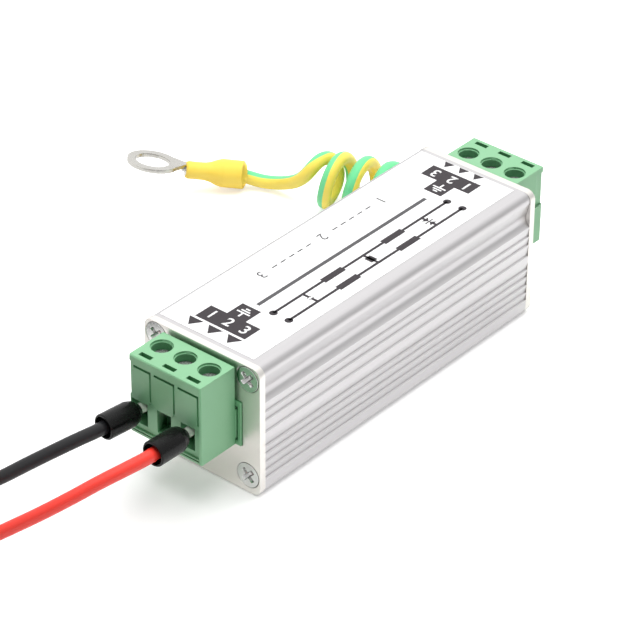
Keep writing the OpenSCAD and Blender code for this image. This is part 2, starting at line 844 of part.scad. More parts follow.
module red_tail_ferrule() {
    color(tin) at_tail(red_coil_at, red_coil_from, red_way) ferrule();
}

upper_shell();
lower_shell();
output_end_plate();
input_end_plate();
output_plate_screws();
input_plate_screws();
label();
circuit_board();
gas_tube();
line_fuse_a();
line_fuse_b();
clamp_diode_a();
clamp_diode_b();
clamp_diode_c();
output_header();
input_header();
output_header_pins();
input_header_pins();
output_plug();
input_plug();
output_contacts();
input_contacts();
output_clamp_screw(0);  // output_clamp_screw_1
output_clamp_screw(1);  // output_clamp_screw_2
output_clamp_screw(2);  // output_clamp_screw_3
input_clamp_screw(0);  // input_clamp_screw_1
input_clamp_screw(1);  // input_clamp_screw_2
input_clamp_screw(2);  // input_clamp_screw_3
output_cage(0);  // output_cage_1
output_cage(1);  // output_cage_2
output_cage(2);  // output_cage_3
input_cage(0);  // input_cage_1
input_cage(1);  // input_cage_2
input_cage(2);  // input_cage_3
earth_grommet();
earth_conductor();
earth_lead_inner();
earth_curl();
earth_lead_outer();
ring_sleeve();
ring_terminal();
black_ferrule();
black_collar();
black_lead();
black_coil();
black_tail();
black_tail_collar();
black_tail_ferrule();
red_ferrule();
red_collar();
red_lead();
red_coil();
red_tail();
red_tail_collar();
red_tail_ferrule();
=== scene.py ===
# Studio picture of an in-line surge protector for a data pair, in metres, in the part's own frame
import math
import bmesh
import bpy
from mathutils import Matrix, Vector


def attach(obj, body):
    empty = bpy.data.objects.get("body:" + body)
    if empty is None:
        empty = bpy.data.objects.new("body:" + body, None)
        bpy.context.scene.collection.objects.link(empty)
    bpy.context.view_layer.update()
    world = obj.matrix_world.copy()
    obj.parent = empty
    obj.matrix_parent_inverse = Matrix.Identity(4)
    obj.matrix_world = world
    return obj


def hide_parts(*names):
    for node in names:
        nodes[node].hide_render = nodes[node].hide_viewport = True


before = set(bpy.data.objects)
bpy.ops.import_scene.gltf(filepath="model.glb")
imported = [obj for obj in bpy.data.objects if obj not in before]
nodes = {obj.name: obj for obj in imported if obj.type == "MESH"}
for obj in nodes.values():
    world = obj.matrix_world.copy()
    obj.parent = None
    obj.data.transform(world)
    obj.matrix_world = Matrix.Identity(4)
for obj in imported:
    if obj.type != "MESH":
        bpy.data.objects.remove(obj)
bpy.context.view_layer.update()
mm = 0.001
ends = {"output": -1, "input": 1}   # which way each end of the case faces along Y
poles = (1, 2, 3)
poleX = (-5.08, 0, 5.08)   # where the poles stand across each terminal block, in mm


def atMm(x, y, z):
    return Vector((x, y, z)) * mm


# camera, solved for a 640 by 640 picture

cameraSet = {"place": (290.51, -353.85, 316.10), "aim": (-2.192, -3.894, 12.0), "roll": 0.464, "lens": 183.41,
    "sensor": 36, "clip": (0.02, 20)}


def makeCamera():
    data = bpy.data.cameras.new("camera")
    data.lens = cameraSet["lens"]
    data.sensor_width = cameraSet["sensor"]
    data.clip_start, data.clip_end = cameraSet["clip"]
    camera = bpy.data.objects.new("camera", data)
    place = atMm(*cameraSet["place"])
    turn = (atMm(*cameraSet["aim"]) - place).to_track_quat("-Z", "Y").to_matrix().to_4x4()
    roll = Matrix.Rotation(math.radians(cameraSet["roll"]), 4, "Z")
    camera.matrix_world = Matrix.Translation(place) @ turn @ roll
    bpy.context.scene.collection.objects.link(camera)
    bpy.context.scene.camera = camera


makeCamera()
print("camera set")

# materials

noiseSpan = (0.3, 0.7)   # where most of a noise's values lie


def hexColour(text):
    parts = [int(text[i:i + 2], 16) / 255 for i in (1, 3, 5)]
    return [p / 12.92 if p <= 0.04045 else ((p + 0.055) / 1.055) ** 2.4 for p in parts] + [1.0]


def addNode(tree, kind, settings=None, inputs=None):
    node = tree.nodes.new(kind)
    for name, value in (settings or {}).items():
        setattr(node, name, value)
    for name, value in (inputs or {}).items():
        if isinstance(value, bpy.types.NodeSocket):
            tree.links.new(value, node.inputs[name])
        else:
            node.inputs[name].default_value = value
    return node


def ranged(tree, value, fromMin, fromMax, toMin=0.0, toMax=1.0, **settings):
    # value moved from one range to another, and held at its ends
    node = addNode(tree, "ShaderNodeMapRange", settings,
        {"Value": value, "From Min": fromMin, "From Max": fromMax, "To Min": toMin, "To Max": toMax})
    return node.outputs["Result"]


def worked(tree, operation, one, other):
    return addNode(tree, "ShaderNodeMath", {"operation": operation}, {0: one, 1: other}).outputs[0]


def blended(tree, factor, one, other):
    # a colour between two, each a hex text or a socket
    one, other = [hexColour(c) if isinstance(c, str) else c for c in (one, other)]
    mix = addNode(tree, "ShaderNodeMix", {"data_type": "RGBA"}, {"Factor": factor, "A": one, "B": other})
    return mix.outputs["Result"]


def newMaterial(name, colour, roughness, **sockets):
    material = bpy.data.materials.new(name)
    material.use_nodes = True
    shader = material.node_tree.nodes["Principled BSDF"]
    shader.inputs["Base Color"].default_value = hexColour(colour)
    shader.inputs["Roughness"].default_value = roughness
    for socket, value in sockets.items():
        shader.inputs[socket.replace("_", " ")].default_value = value
    return material, material.node_tree, shader


def noiseOf(tree, size, detail=2.0, stretch=(1, 1, 1)):
    # noise with patches of a size in mm, drawn out along an axis of the object where stretch is small
    point = addNode(tree, "ShaderNodeTexCoord").outputs["Object"]
    scale = [s / mm for s in stretch]
    point = addNode(tree, "ShaderNodeMapping", {}, {"Vector": point, "Scale": scale}).outputs["Vector"]
    noise = addNode(tree, "ShaderNodeTexNoise", {}, {"Vector": point, "Scale": 1 / size, "Detail": detail})
    return noise.outputs["Fac"]


def addGrain(tree, shader, size, depth, spread, stretch=(1, 1, 1)):
    # size is the grain's real width in mm, depth its height in mm, spread how far roughness varies
    noise = noiseOf(tree, size, 3.0, stretch)
    bump = addNode(tree, "ShaderNodeBump", {}, {"Height": noise, "Distance": depth * mm, "Strength": 1.0})
    tree.links.new(bump.outputs["Normal"], shader.inputs["Normal"])
    base = shader.inputs["Roughness"].default_value
    tree.links.new(ranged(tree, noise, *noiseSpan, base - spread, base + spread), shader.inputs["Roughness"])


def addSeamDirt(tree, shader, colour, reach):
    # painted shade: a darker tone where another surface stands closer than reach, in mm
    near = addNode(tree, "ShaderNodeAmbientOcclusion", {"samples": 6}, {"Distance": reach * mm}).outputs["AO"]
    unshadedTone = shader.inputs["Base Color"].links[0].from_socket
    tree.links.new(blended(tree, near, colour, unshadedTone), shader.inputs["Base Color"])


def finish(name, light, dark, roughness, grain, depth, spread=0.05, stretch=(1, 1, 1), patch=5.0, paintedSeamShade=None,
        **sockets):
    # one finish: a tone that drifts over patches, a grain in height and roughness, and painted shade in its seams
    material, tree, shader = newMaterial(name, light, roughness, **sockets)
    tone = blended(tree, noiseOf(tree, patch, stretch=stretch), dark, light)
    tree.links.new(tone, shader.inputs["Base Color"])
    addGrain(tree, shader, grain, depth, spread, stretch)
    if paintedSeamShade:
        addSeamDirt(tree, shader, *paintedSeamShade)
    return material


# clear anodised extrusion: satin, with die lines along its length
extrusion = finish("satin anodised extrusion", "#cbc9ca", "#c1bfc0", 0.34, 0.2, 0.0025, stretch=(1, 0.02, 1),
    patch=1.5, Metallic=1.0)
# clear anodised sheet: finely etched, a little warmer and rougher than the extrusion, with painted shade where
# another part stands close
sheet = finish("etched anodised sheet", "#e8e5e0", "#dedbd6", 0.4, 0.25, 0.002, paintedSeamShade=("#3a3a38", 0.3),
    Metallic=1.0)
# bright zinc plate on cold-headed steel: faint spangle, with painted shade in the cross recess and round the head
steel = finish("bright zinc plate", "#dededc", "#cccdcb", 0.2, 0.5, 0.002, patch=1.2, paintedSeamShade=("#2c2c2a", 0.7),
    Metallic=1.0)
# nickelled clamp screws, deep in their holes, with painted shade in their slots and round their heads
nickel = finish("dull nickel plate", "#aeb2ae", "#8c908d", 0.26, 0.4, 0.001, patch=1.2, paintedSeamShade=("#3a3f3b", 0.5),
    Metallic=0.5)
# electrotinned copper: pale, soft highlights
tin = finish("electrotinned copper", "#c6c4bf", "#bab8b2", 0.24, 0.6, 0.002, 0.06, patch=2.0, Metallic=1.0)
# the same plate on the ferrules, painted lighter and less metallic than the tin elsewhere: a painted glint where they
# show in the wire openings
tinPaintedBright = finish("bright tin plate", "#f4f2ee", "#e6e4df", 0.2, 0.6, 0.001, patch=2.0, Metallic=0.6)
# moulded polyamide 66: satin, faint sink and flow marks, with painted shade in its holes, slots and grooves
green = finish("moulded green polyamide", "#8abe94", "#81b78c", 0.36, 0.12, 0.0015, patch=6.0,
    paintedSeamShade=("#3f8a56", 3.5), Specular_IOR_Level=0.35)
# white polyester film with a satin overlaminate
film = finish("white polyester film", "#f6f6f6", "#f2f2f2", 0.45, 0.2, 0.0008, 0.04, patch=8.0)
# screen inks: thin, slightly duller than the film
ink = finish("dark screen ink", "#3f3b3e", "#393538", 0.5, 0.15, 0.0008, patch=1.5, Specular_IOR_Level=0.15)
greyInk = finish("grey screen ink", "#5c5b5d", "#545355", 0.5, 0.15, 0.0008, patch=1.5,
    Specular_IOR_Level=0.15)
# extruded soft vinyl: satin with a faint draw along the wire
blackVinyl = finish("black vinyl insulation", "#212123", "#1a1a1c", 0.36, 0.6, 0.003, 0.06,
    Specular_IOR_Level=0.3)
redVinyl = finish("red vinyl insulation", "#f54034", "#ea382c", 0.34, 0.6, 0.003, 0.06)
greenVinyl = finish("green vinyl insulation", "#4fcf8c", "#45c481", 0.34, 0.6, 0.003, 0.06)
# dip-moulded vinyl: soft, slightly waxy
yellowSleeve = finish("yellow vinyl sleeve", "#ffe262", "#fbd44c", 0.4, 0.5, 0.004, 0.06, patch=3.0)
# moulded polypropylene: nearly black with a soft sheen
collarBlack = finish("black polypropylene", "#0e0e0e", "#0a0a0a", 0.26, 0.5, 0.001, 0.04,
    Specular_IOR_Level=0.2)
# moulded rubber: dull black
grommetRubber = finish("black grommet rubber", "#212122", "#1a1a1b", 0.6, 0.3, 0.004)
# the board and what is on it: resist over glass laminate, glazed ceramic, dipped and moulded epoxy
boardLaminate = finish("green solder resist", "#16602f", "#0f4a25", 0.3, 0.8, 0.002, patch=3.0)
tubeCeramic = finish("glazed alumina", "#ecebe4", "#e2e0d8", 0.25, 0.8, 0.002)
fuseCoating = finish("yellow epoxy dip", "#dba918", "#cc9a10", 0.35, 0.7, 0.01)
diodeEpoxy = finish("black epoxy moulding", "#242426", "#1b1b1d", 0.5, 0.15, 0.004)
print("materials made")

# cords

cordSet = {"around": 6, "along": 6}   # how finely a cord's round and its line are divided


def onCircle(centre, radius, angle, z):
    return atMm(centre[0] + radius * math.cos(angle), centre[1] + radius * math.sin(angle), z)


def cordCurve(name, points, diameter, material):
    data = bpy.data.curves.new(name, "CURVE")
    data.dimensions = "3D"
    data.bevel_depth = diameter / 2 * mm
    data.bevel_resolution = cordSet["around"]
    data.use_fill_caps = True
    data.resolution_u = cordSet["along"]
    spline = data.splines.new("BEZIER")
    spline.bezier_points.add(len(points) - 1)
    for knot, point in zip(spline.bezier_points, points):
        knot.co = point
        knot.handle_left_type = "AUTO"
        knot.handle_right_type = "AUTO"
    cord = bpy.data.objects.new(name, data)
    bpy.context.scene.collection.objects.link(cord)
    cord.data.materials.append(material)
    return cord


def curveLength(points):
    return sum((b - a).length for a, b in zip(points, points[1:]))


# the two output leads: from the ferrule out of its collar, down to the surface, and round a coil
leads = {
    "black": {
        "mouth": (-6.0, -52.8, 14.5), "lean": 6.6,
        "route": [(-7, -56.9, 14.2), (-9, -60.9, 13), (-11.5, -64.3, 11.2), (-14.3, -67.2, 9),
            (-17.5, -69.6, 6.7), (-21, -71.6, 4.5), (-24.8, -73.4, 2.7), (-28.9, -75.1, 1.5), (-33.1, -76.9, 1.15)],
        "coil": (-42.3, -69), "from": -65, "way": -1, "material": blackVinyl,
    },
    "red": {
        "mouth": (4.865, -53.05, 14.5), "lean": 1.5,
        "route": [(4.1, -57.8, 14.2), (2.5, -62.4, 13.3), (0.4, -66.6, 11.7), (-2.2, -70.3, 9.7),
            (-5.2, -73.6, 7.5), (-8.3, -76.7, 5.3), (-11.6, -79.9, 3.3), (-15, -83.1, 1.8), (-18.7, -86.4, 1.15)],
        "coil": (-15, -98), "from": 132, "way": 1, "material": redVinyl,
    },
}
# inMouth holds depths in the collar's mouth, climb the turn where the cord climbs onto itself and over what part of a
# turn, tail the distance past the coil and the height
leadSet = {"diameter": 2.3, "length": 0.21, "inMouth": (5.6, 1.5, -1.5), "coil": 22, "turns": 1.95, "perTurn": 20,
    "climb": (0.75, 0.25), "tail": [(4, 3.6), (8, 3.3), (12, 2.7), (16, 2.25), (21.6, 2.25)]}


def leadPoints(lead):
    radius, d = leadSet["coil"] / 2, leadSet["diameter"]
    lean = math.radians(lead["lean"])
    into = Vector((math.sin(lean), math.cos(lean), 0))
    points = [(Vector(lead["mouth"]) + into * depth) * mm for depth in leadSet["inMouth"]]
    points += [atMm(*p) for p in lead["route"]]
    way, start = lead["way"], math.radians(lead["from"])
    steps = round(leadSet["turns"] * leadSet["perTurn"])
    climbFrom, climbOver = leadSet["climb"]
    for i in range(steps + 1):
        # the second turn lies on the first, and the cord climbs to it near the first turn's end
        t = i / steps * leadSet["turns"]
        rise = min(1, max(0, (t - climbFrom) / climbOver))
        z = d / 2 + d * rise * rise * (3 - 2 * rise)
        points.append(onCircle(lead["coil"], radius, start + way * 2 * math.pi * t, z))
    end = start + way * 2 * math.pi * leadSet["turns"]
    out = Vector((-way * math.sin(end), way * math.cos(end), 0))
    last = Vector((points[-1].x, points[-1].y, 0))
    points += [last + out * along * mm + Vector((0, 0, z * mm)) for along, z in leadSet["tail"]]
    return points


for colour, lead in leads.items():
    points = leadPoints(lead)
    cord = cordCurve(f"{colour}Lead", points, leadSet["diameter"], lead["material"])
    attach(cord, "output_plug")
    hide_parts(f"{colour}_lead", f"{colour}_coil", f"{colour}_tail")
    print(colour, "lead, m:", round(curveLength(points), 4))

# the earth lead: its run from the case, a curl about an axis along the surface, and its run to the ring
earthSet = {"diameter": 2.6, "length": 0.15, "from": (-39.6, 39.0), "turn": 21, "pitch": 4.65, "radius": 4.5,
    "axis": 5.75, "turns": (3.05, 0.55), "perTurn": 20, "step": 1.0, "passes": 3}
earthInner = [(0, 37.3, 4.4), (0, 39, 4.4), (0, 42.5, 4.3), (-0.4, 46.5, 3.6), (-2, 50.5, 2.6), (-5.6, 53.6, 1.8),
    (-10.5, 55, 1.5), (-15.5, 54.9, 2), (-20, 53.6, 3.4), (-23.6, 51.4, 5.4), (-25.8, 48.8, 7.6)]
earthOuter = [(-37.5, 41.4, 1.65), (-37.7, 42.9, 2.7), (-38.13, 44.24, 4.02), (-38.6, 44.42, 5.77),
    (-39.06, 44.05, 7.18), (-39.29, 42.66, 8.48), (-39.56, 41.3, 8.8), (-39.71, 39.81, 8.5), (-39.92, 38.54, 7.58),
    (-40.7, 37.82, 6.06), (-41.93, 37.45, 4.68), (-44.23, 37.43, 3.32), (-47.29, 37.67, 1.9), (-49.82, 36.81, 1.52),
    (-51.2, 36.2, 1.6), (-52.3, 35.5, 2.2)]
# the ring terminal's sleeve: its mouth, the way into it in degrees, and how its mouth is cut on the slant
ringSet = {"mouth": (-52.4, 35.4, 2.56), "turn": 229, "tilt": 11, "inMouth": (3, 6.4), "lip": 2.65, "lipEnd": 0.5,
    "slant": 2.0, "slantTo": (0.7, -0.48, 0.53), "mouthEnd": 1.8, "edge": 0.08}
# where green lies round the wire: above on the run from the case, across the curl's axis and outwards on the curl,
# then above and behind on the run to the ring, with the change spread over some of its points
stripeSet = {"home": (0.0, 0.3, 1.0), "evenAt": 0.75, "perTurn": 30, "run": (-0.2, 0.83, 0.5), "change": (3, 6),
    "edge": 0.03, "yellow": ("#ffe868", "#fde05a"), "green": ("#74e09c", "#68d691"), "patch": 1 / 0.3,
    "roughness": 0.33, "grain": (0.6, 0.003, 0.05)}


def intoSleeve():
    heading, tilt = math.radians(ringSet["turn"]), math.radians(ringSet["tilt"])
    return Vector((math.cos(heading) * math.cos(tilt), math.sin(heading) * math.cos(tilt), math.sin(tilt)))


def earthPoints():
    # centre line, and beside each point the way that the green half of the wire faces
    turn = math.radians(earthSet["turn"])
    along = Vector((math.cos(turn), math.sin(turn), 0))
    front = Vector((math.sin(turn), -math.cos(turn), 0))
    start = Vector((*earthSet["from"], earthSet["axis"]))
    points = [(Vector(p), Vector(stripeSet["home"])) for p in earthInner]
    first, last = earthSet["turns"]
    steps = round((first - last) * earthSet["perTurn"])
    for i in range(steps + 1):
        t = first + (last - first) * i / steps
        angle = -2 * math.pi * t
        around = Vector((0, 0, math.cos(angle))) + front * math.sin(angle)
        lean = math.radians(stripeSet["perTurn"] * (t - stripeSet["evenAt"]))
        points.append((start + along * earthSet["pitch"] * t + around * earthSet["radius"],
            around * math.sin(lean) - along * math.cos(lean)))
    begin, over = stripeSet["change"]
    for i, p in enumerate(earthOuter):
        share = min(1, max(0, (i - begin) / over))
        points.append((Vector(p), (-along).lerp(Vector(stripeSet["run"]), share)))
    mouth = Vector(ringSet["mouth"])
    points += [(mouth + intoSleeve() * depth, Vector(stripeSet["run"])) for depth in ringSet["inMouth"]]
    return points


def evenly(points, step):
    # the same line with its points a step apart
    lengths = [0]
    for a, b in zip(points, points[1:]):
        lengths.append(lengths[-1] + (b[0] - a[0]).length)
    count = round(lengths[-1] / step)
    even, k = [], 0
    for i in range(count + 1):
        at = lengths[-1] * i / count
        while k < len(points) - 2 and lengths[k + 1] < at:
            k += 1
        share = (at - lengths[k]) / (lengths[k + 1] - lengths[k])
        even.append(tuple(a.lerp(b, share) for a, b in zip(points[k], points[k + 1])))
    return even


def softened(points, passes):
    for _ in range(passes):
        threes = zip(points, points[1:], points[2:])
        middle = [tuple((a + b * 2 + c) / 4 for a, b, c in zip(*three)) for three in threes]
        points = [points[0]] + middle + [points[-1]]
    return points


def earthInsulation():
    # two-colour vinyl: the wire's own attribute says how far a place lies to its green side
    material, tree, shader = newMaterial("green and yellow vinyl", stripeSet["green"][0], stripeSet["roughness"])
    side = addNode(tree, "ShaderNodeAttribute", {"attribute_name": "greenSide"}).outputs["Fac"]
    isGreen = ranged(tree, side, -stripeSet["edge"], stripeSet["edge"])
    noise = noiseOf(tree, stripeSet["patch"])
    tones = [blended(tree, noise, *stripeSet[name]) for name in ("yellow", "green")]
    tree.links.new(blended(tree, isGreen, *tones), shader.inputs["Base Color"])
    addGrain(tree, shader, *stripeSet["grain"])
    return material


def makeEarthLead():
    line = softened(evenly(earthPoints(), earthSet["step"]), earthSet["passes"])
    points = [p * mm for p, side in line]
    curve = cordCurve("earthLeadLine", points, earthSet["diameter"], earthInsulation())
    bpy.context.view_layer.update()
    mesh = bpy.data.meshes.new_from_object(curve.evaluated_get(bpy.context.evaluated_depsgraph_get()))
    mesh.shade_smooth()
    rings = (len(points) - 1) * cordSet["along"] + 1
    around = len(mesh.vertices) // rings
    greenSide = mesh.attributes.new("greenSide", "FLOAT", "POINT")
    headings = [b[0] - a[0] for a, b in zip([line[0]] + line, line[1:] + [line[-1]])]
    for i in range(rings):
        at = i / (rings - 1) * (len(line) - 1)
        k = min(int(at), len(line) - 2)
        facing = line[k][1].lerp(line[k + 1][1], at - k)
        travel = headings[k].lerp(headings[k + 1], at - k).normalized()
        facing = (facing - travel * facing.dot(travel)).normalized()
        places = [mesh.vertices[i * around + j].co for j in range(around)]
        centre = sum(places, Vector()) / around
        for j, place in enumerate(places):
            greenSide.data[i * around + j].value = (place - centre).normalized().dot(facing)
    cord = bpy.data.objects.new("earthLead", mesh)
    bpy.context.scene.collection.objects.link(cord)
    bpy.data.objects.remove(curve)
    print("earth lead, m:", round(curveLength(points), 4), "rings:", rings, "round:", around)
    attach(cord, "root")
    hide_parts("earth_lead_inner", "earth_curl", "earth_lead_outer")
    return cord, points


earthLead, earthPath = makeEarthLead()
print("cords laid")

# pieces with broken edges, each made from its node's own shape

# weld in m, angles in degrees: what still counts as flat, what is sharp enough to break, what is shaded smooth
edgeSet = {"weld": 1e-6, "flat": 0.5, "sharp": 30, "smooth": 48, "segments": 2}
close = 0.02   # mm, for telling which surface an edge lies on


def shadeSmooth(mesh, limit):
    mesh.shade_smooth()
    mesh.set_sharp_from_angle(angle=math.radians(limit))


def placed(name, bm, body, material):
    mesh = bpy.data.meshes.new(name)
    bm.to_mesh(mesh)
    bm.free()
    mesh.materials.append(material)
    piece = bpy.data.objects.new(name, mesh)
    bpy.context.scene.collection.objects.link(piece)
    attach(piece, body)
    return piece


def roundEdges(bm, width, keep):
    # outward edges rounded off where keep says so
    sharp = []
    for edge in bm.edges:
        if len(edge.link_faces) != 2 or edge.calc_face_angle_signed(0) < math.radians(edgeSet["sharp"]):
            continue
        if keep(edge.verts[0].co / mm, edge.verts[1].co / mm):
            sharp.append(edge)
    bmesh.ops.bevel(bm, geom=sharp, offset=width * mm, offset_type="OFFSET", segments=edgeSet["segments"],
        profile=0.5, affect="EDGES", clamp_overlap=True, material=-1)
    return len(sharp)


def brokenEdges(name, node, body, material, rounds, shift=None):
    # the node's shape with its outward edges broken, round by round
    bm = bmesh.new()
    bm.from_mesh(nodes[node].data)
    bmesh.ops.remove_doubles(bm, verts=bm.verts, dist=edgeSet["weld"])
    if shift:
        for vert in bm.verts:
            vert.co += shift(vert.co / mm) * mm
        bmesh.ops.remove_doubles(bm, verts=bm.verts, dist=edgeSet["weld"])
    bmesh.ops.dissolve_limit(bm, angle_limit=math.radians(edgeSet["flat"]), verts=bm.verts, edges=bm.edges)
    count = [roundEdges(bm, width, keep) for width, keep in rounds]
    piece = placed(name, bm, body, material)
    shadeSmooth(piece.data, edgeSet["smooth"])
    normals = piece.modifiers.new("flat faces stay flat", "WEIGHTED_NORMAL")
    normals.keep_sharp = True
    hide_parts(node)
    print(name, "edges broken:", count)


def beyond(limit):
    # says whether an edge lies further out along Y than limit, in mm
    return lambda *corners: all(abs(p.y) > limit for p in corners)


def above(limit):
    return lambda *corners: all(p.z > limit for p in corners)


def anywhere(*corners):
    return True


plugSet = {"back": 36.5, "front": 44.85, "side": 7.62, "low": 8.85, "top": 23.85, "edge": 0.1, "corner": 0.32,
    "opening": (1.5, 11, 15.45), "openingsFrom": 42.2, "openingShift": 0.48, "padDepth": 0.12}


def fitMouldings(p):
    # openings lie a little to one side of their poles, and the panels are flush with the front
    half, low, high = plugSet["opening"]
    way = -1 if p.y < 0 else 1
    move = Vector((0, 0, 0))
    if abs(p.y) > plugSet["openingsFrom"] and low - close < p.z < high + close:
        for pole in poleX:
            if abs(abs(p.x - pole) - half) < close:
                move.x = way * plugSet["openingShift"]
    if abs(abs(p.y) - plugSet["front"] + plugSet["padDepth"]) < close:
        move.y = way * plugSet["padDepth"]
    return move


def onPlugSkin(*corners):
    for p in corners:
        upright = abs(p.y) > plugSet["front"] - close or abs(p.x) > plugSet["side"] - close
        level = p.z > plugSet["top"] - close or p.z < plugSet["low"] + close
        if abs(p.y) < plugSet["back"] or not (upright or level):
            return False
    return True


def onPlugCorner(*corners):
    return all(abs(p.y) > plugSet["front"] - close and abs(p.x) > plugSet["side"] - close for p in corners)


# the narrower bore below the mouth of each clamp hole, with its sloped shoulder
rimSet = {"inner": 1.72, "outer": 1.94, "top": 23.52, "slope": 0.1, "foot": 22.12, "row": 39.74, "steps": 48,
    "smooth": 20}


def makeHoleRims(end):
    bm = bmesh.new()
    inner, outer, top, foot = (rimSet[k] for k in ("inner", "outer", "top", "foot"))
    profile = [(outer, top), (inner, top - rimSet["slope"]), (inner, foot), (outer, foot)]
    for pole in poleX:
        rings = []
        for step in range(rimSet["steps"]):
            angle = 2 * math.pi * step / rimSet["steps"]
            centre = (pole, ends[end] * rimSet["row"])
            rings.append([bm.verts.new(onCircle(centre, radius, angle, z)) for radius, z in profile])
        for one, other in zip(rings, rings[1:] + rings[:1]):
            for j in range(len(profile)):
                n = (j + 1) % len(profile)
                bm.faces.new((one[j], one[n], other[n], other[j]))
    bmesh.ops.recalc_face_normals(bm, faces=bm.faces)
    piece = placed(f"{end}HoleRims", bm, f"{end}_plug", green)
    shadeSmooth(piece.data, rimSet["smooth"])


plateSet = {"face": 36, "half": 12.4, "top": 24.6, "rim": 1.7, "edge": 0.12}
headerSet = {"from": 36.4, "edge": 0.08}
plateScrewSet = {"edge": 0.06}
clampScrewSet = {"from": 21.9, "edge": 0.07}


def onPlateRim(*corners):
    rim = plateSet["rim"]
    for p in corners:
        onRim = abs(p.x) > plateSet["half"] - rim or p.z > plateSet["top"] - rim or p.z < rim
        if abs(p.y) < plateSet["face"] - close or not onRim:
            return False
    return True


# the film is thinner than the CAD's, which keeps to what can be made solid
filmSet = {"from": 24.6, "edge": 0.02, "surface": 24.7, "thinner": 0.07}


def thinFilm(p):
    return Vector((0, 0, -filmSet["thinner"] if p.z > filmSet["surface"] else 0))


def slantMouth(p):
    # the sleeve's mouth is cut on the slant, lower where it faces up and outwards
    into, facing = intoSleeve(), Vector(ringSet["slantTo"])
    reach = p - Vector(ringSet["mouth"])
    if reach.dot(into) > ringSet["lipEnd"]:
        return Vector((0, 0, 0))
    return into * ringSet["slant"] * (0.5 + reach.dot(facing) / ringSet["lip"] / 2)


def atMouth(*corners):
    return all((p - Vector(ringSet["mouth"])).dot(intoSleeve()) < ringSet["mouthEnd"] for p in corners)


for end in ends:
    makeHoleRims(end)
    brokenEdges(f"{end}PlugHousing", f"{end}_plug", f"{end}_plug", green,
        [(plugSet["corner"], onPlugCorner), (plugSet["edge"], onPlugSkin)], fitMouldings)
    brokenEdges(f"{end}Header", f"{end}_header", "root", green,
        [(headerSet["edge"], beyond(headerSet["from"]))])
    brokenEdges(f"{end}EndPlate", f"{end}_end_plate", "root", sheet,
        [(plateSet["edge"], onPlateRim)])
    brokenEdges(f"{end}PlateScrews", f"{end}_plate_screws", "root", steel,
        [(plateScrewSet["edge"], beyond(plateSet["face"] - close))])
    for k in poles:
        screw = f"{end}_clamp_screw_{k}"
        brokenEdges(f"{end}ClampScrew{k}", screw, screw, nickel,
            [(clampScrewSet["edge"], above(clampScrewSet["from"]))])
brokenEdges("labelFilm", "label", "root", film, [(filmSet["edge"], above(filmSet["from"]))],
    thinFilm)
brokenEdges("ringSleeve", "ring_sleeve", "root", yellowSleeve, [(ringSet["edge"], atMouth)],
    slantMouth)
brokenEdges("ringTerminal", "ring_terminal", "root", tin, [(ringSet["edge"], anywhere)])
print("edges broken")

# print on the label, in mm

# figure is the share of the font size that a figure's height takes, and the steps are how finely rounds are drawn
labelSet = {"top": 24.65, "ink": 0.015, "figure": 0.72, "figureSteps": 4, "ringSteps": 40, "dotSteps": 32}


def drawBar(bm, x0, y0, x1, y1):
    centre = Matrix.Translation(atMm((x0 + x1) / 2, (y0 + y1) / 2, 0))
    size = Matrix.Diagonal((abs(x1 - x0) * mm, abs(y1 - y0) * mm, 1, 1))
    bmesh.ops.create_grid(bm, x_segments=1, y_segments=1, size=0.5, matrix=centre @ size)


def drawOutline(bm, corners):
    bm.faces.new([bm.verts.new(atMm(x, y, 0)) for x, y in corners])


def drawDisc(bm, x, y, radius, steps):
    place = Matrix.Translation(atMm(x, y, 0))
    made = bmesh.ops.create_circle(bm, cap_ends=True, segments=steps, radius=radius * mm, matrix=place)
    return made["verts"][0].link_faces[0]


def drawRing(bm, x, y, radius, line):
    disc = drawDisc(bm, x, y, radius, labelSet["ringSteps"])
    bmesh.ops.inset_region(bm, faces=[disc], thickness=line * mm)
    bmesh.ops.delete(bm, geom=[disc], context="FACES_ONLY")


def drawNumber(bm, number, height, x, y, turn, weight=0.0):
    data = bpy.data.curves.new("number", "FONT")
    data.body = str(number)
    data.size = height / labelSet["figure"] * mm
    data.offset = weight * mm
    data.align_x = "CENTER"
    data.align_y = "CENTER"
    data.resolution_u = labelSet["figureSteps"]
    writing = bpy.data.objects.new("number", data)
    bpy.context.scene.collection.objects.link(writing)
    bpy.context.view_layer.update()
    mesh = bpy.data.meshes.new_from_object(writing.evaluated_get(bpy.context.evaluated_depsgraph_get()))
    mesh.transform(Matrix.Translation(atMm(x, y, 0)) @ Matrix.Rotation(math.radians(turn), 4, "Z"))
    bm.from_mesh(mesh)
    bpy.data.objects.remove(writing)
    bpy.data.meshes.remove(mesh)


def printed(name, bm, material, layer=0):
    # the flat drawing gets an ink's thickness on the film
    low = (labelSet["top"] + layer * labelSet["ink"]) * mm
    bmesh.ops.remove_doubles(bm, verts=bm.verts, dist=edgeSet["weld"])
    for vert in bm.verts:
        vert.co.z = low
    raised = bmesh.ops.extrude_face_region(bm, geom=bm.faces[:])
    up = [g for g in raised["geom"] if isinstance(g, bmesh.types.BMVert)]
    bmesh.ops.translate(bm, verts=up, vec=(0, 0, labelSet["ink"] * mm))
    bmesh.ops.recalc_face_normals(bm, faces=bm.faces)
    placed(name, bm, "root", material)


# a bar over the three poles, as two corners, with a stem to the middle pole, as its sides and its end
blockSet = {
    "output": {"bar": (-6.15, -30.6, 4.5, -26.7), "stem": (-2.7, 1.3, -22.9)},
    "input": {"bar": (-6.3, 27.85, 4.1, 31.45), "stem": (-2.75, 1.05, 24.1)},
}
figureSet = {"height": 2.3, "weight": 0.05, "fromLeft": 1.9, "fromRight": 1.7}
earthMarkSet = {"line": 0.17, "from": 0.45, "to": 1.55, "halves": (1.35, 0.9, 0.45), "step": 0.6, "bar": 0.32}


